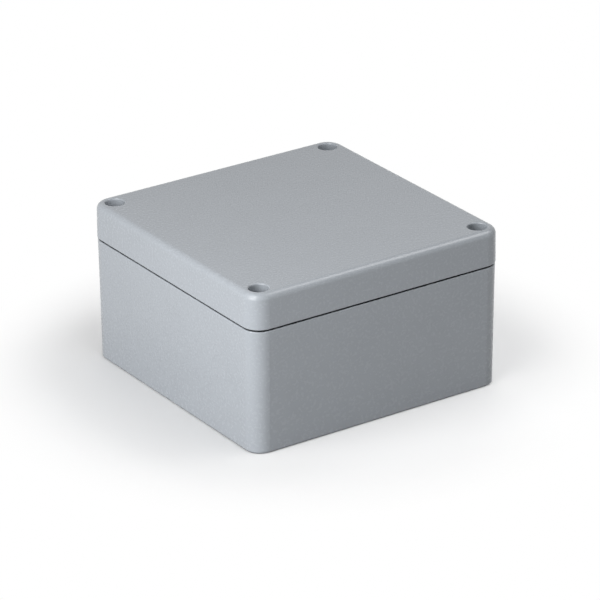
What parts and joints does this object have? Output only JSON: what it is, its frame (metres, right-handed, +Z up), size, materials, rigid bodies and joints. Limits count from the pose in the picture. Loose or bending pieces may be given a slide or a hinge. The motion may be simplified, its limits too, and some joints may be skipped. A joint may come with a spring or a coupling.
{
  "type": "die cast junction box",
  "caption": "Square die cast aluminium junction box with a gasketed lid, captive lid screws in corner recesses, wall mounting channels and earth terminals.",
  "frame": {"origin": "middle of the underside, on the surface that the box stands on", "axes": "+Z up out of the lid, +Y towards the wall with the earth terminals, +X to the right as seen from the front (-Y)"},
  "size_m": [0.16, 0.16, 0.091],
  "materials": {
    "casting": "satin grey powder coat",
    "seal": "matt black rubber",
    "steel": "turned stainless steel",
    "nylon": "natural nylon",
    "plated_clamp": "yellow zinc plate"
  },
  "bodies": {
    "base": {"base": "casting", "base_earth_screw": "steel", "base_earth_clamp": "plated_clamp", "base_earth_spring_washer": "steel"},
    "lid": {"lid": "casting", "gasket": "seal", "retaining_washer_1": "nylon", "retaining_washer_2": "nylon", "retaining_washer_3": "nylon", "retaining_washer_4": "nylon", "lid_earth_screw": "steel", "lid_earth_clamp": "plated_clamp", "lid_earth_spring_washer": "steel"},
    "screw_seal_1": {"seal_ring_1": "seal"},
    "screw_1": {"lid_screw_1": "steel"},
    "screw_seal_2": {"seal_ring_2": "seal"},
    "screw_2": {"lid_screw_2": "steel"},
    "screw_seal_3": {"seal_ring_3": "seal"},
    "screw_3": {"lid_screw_3": "steel"},
    "screw_seal_4": {"seal_ring_4": "seal"},
    "screw_4": {"lid_screw_4": "steel"}
  },
  "joints": [
    {"name": "lid_lift", "type": "slide", "parent": "base", "child": "lid", "axis": [0, 0, 1], "range_m": [0, 0.1]},
    {"name": "screw_1_rise", "type": "slide", "parent": "lid", "child": "screw_seal_1", "axis": [0, 0, 1], "range_m": [0, 0.008]},
    {"name": "screw_1_turn", "type": "hinge", "parent": "screw_seal_1", "child": "screw_1", "pos_m": [-0.07, -0.07, 0.078], "axis": [0, 0, 1], "range_deg": [0, 3600]},
    {"name": "screw_2_rise", "type": "slide", "parent": "lid", "child": "screw_seal_2", "axis": [0, 0, 1], "range_m": [0, 0.008]},
    {"name": "screw_2_turn", "type": "hinge", "parent": "screw_seal_2", "child": "screw_2", "pos_m": [0.07, -0.07, 0.078], "axis": [0, 0, 1], "range_deg": [0, 3600]},
    {"name": "screw_3_rise", "type": "slide", "parent": "lid", "child": "screw_seal_3", "axis": [0, 0, 1], "range_m": [0, 0.008]},
    {"name": "screw_3_turn", "type": "hinge", "parent": "screw_seal_3", "child": "screw_3", "pos_m": [0.07, 0.07, 0.078], "axis": [0, 0, 1], "range_deg": [0, 3600]},
    {"name": "screw_4_rise", "type": "slide", "parent": "lid", "child": "screw_seal_4", "axis": [0, 0, 1], "range_m": [0, 0.008]},
    {"name": "screw_4_turn", "type": "hinge", "parent": "screw_seal_4", "child": "screw_4", "pos_m": [-0.07, 0.07, 0.078], "axis": [0, 0, 1], "range_deg": [0, 3600]}
  ],
  "couplings": [
    {"joint": "screw_1_turn", "follows": "screw_1_rise", "rad_per_m": 7854},
    {"joint": "screw_2_turn", "follows": "screw_2_rise", "rad_per_m": 7854},
    {"joint": "screw_3_turn", "follows": "screw_3_rise", "rad_per_m": 7854},
    {"joint": "screw_4_turn", "follows": "screw_4_rise", "rad_per_m": 7854}
  ]
}
